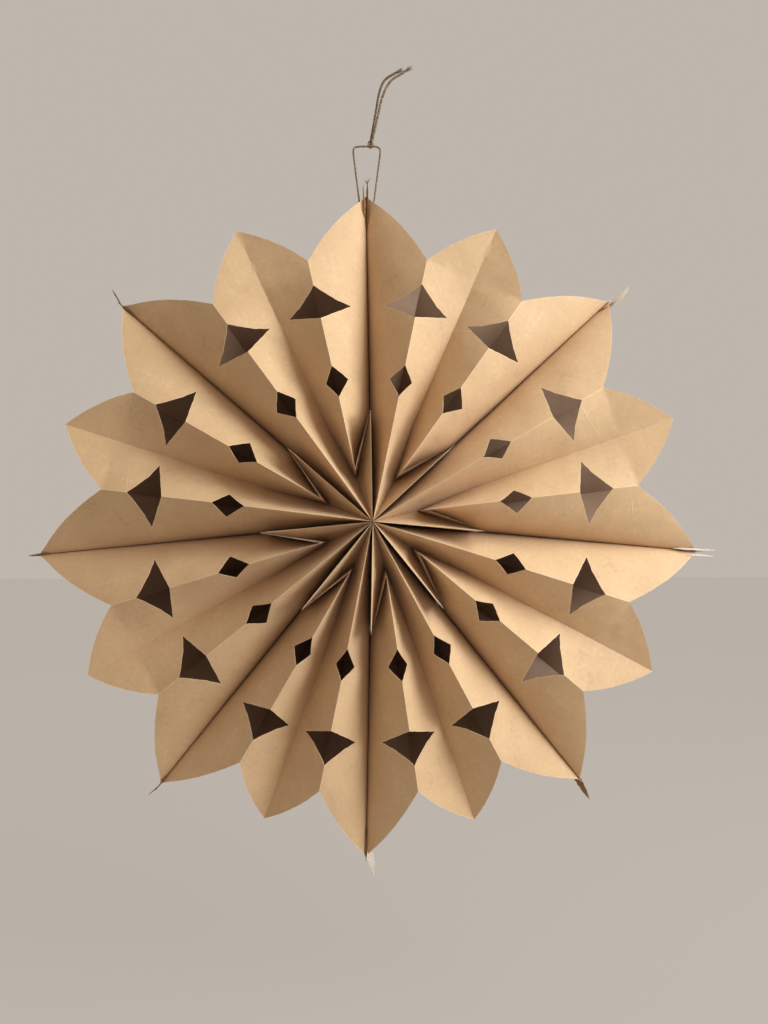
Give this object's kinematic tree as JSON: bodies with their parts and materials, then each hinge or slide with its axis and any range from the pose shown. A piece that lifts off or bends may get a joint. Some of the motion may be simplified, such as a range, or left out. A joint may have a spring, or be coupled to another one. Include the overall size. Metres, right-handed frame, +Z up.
{
  "type": "paper snowflake",
  "caption": "Hanging star made of folded kraft paper bags with cut diamonds and kites, opened round a hub and hung by a knotted loop of jute twine.",
  "frame": {"origin": "where the twine loop hangs: the middle of the loop's top run", "axes": "+Z up, the star's plane is XZ and its front looks along -Y, +X to its right seen from the front"},
  "size_m": [0.5378, 0.1308, 0.6457],
  "materials": {
    "kraft_paper": "matte",
    "jute_twine": "matte"
  },
  "bodies": {
    "root": {"bag_1": "kraft_paper", "bag_2": "kraft_paper", "bag_3": "kraft_paper", "bag_4": "kraft_paper", "bag_5": "kraft_paper", "bag_6": "kraft_paper", "bag_7": "kraft_paper", "bag_8": "kraft_paper", "twine": "jute_twine"}
  },
  "joints": []
}
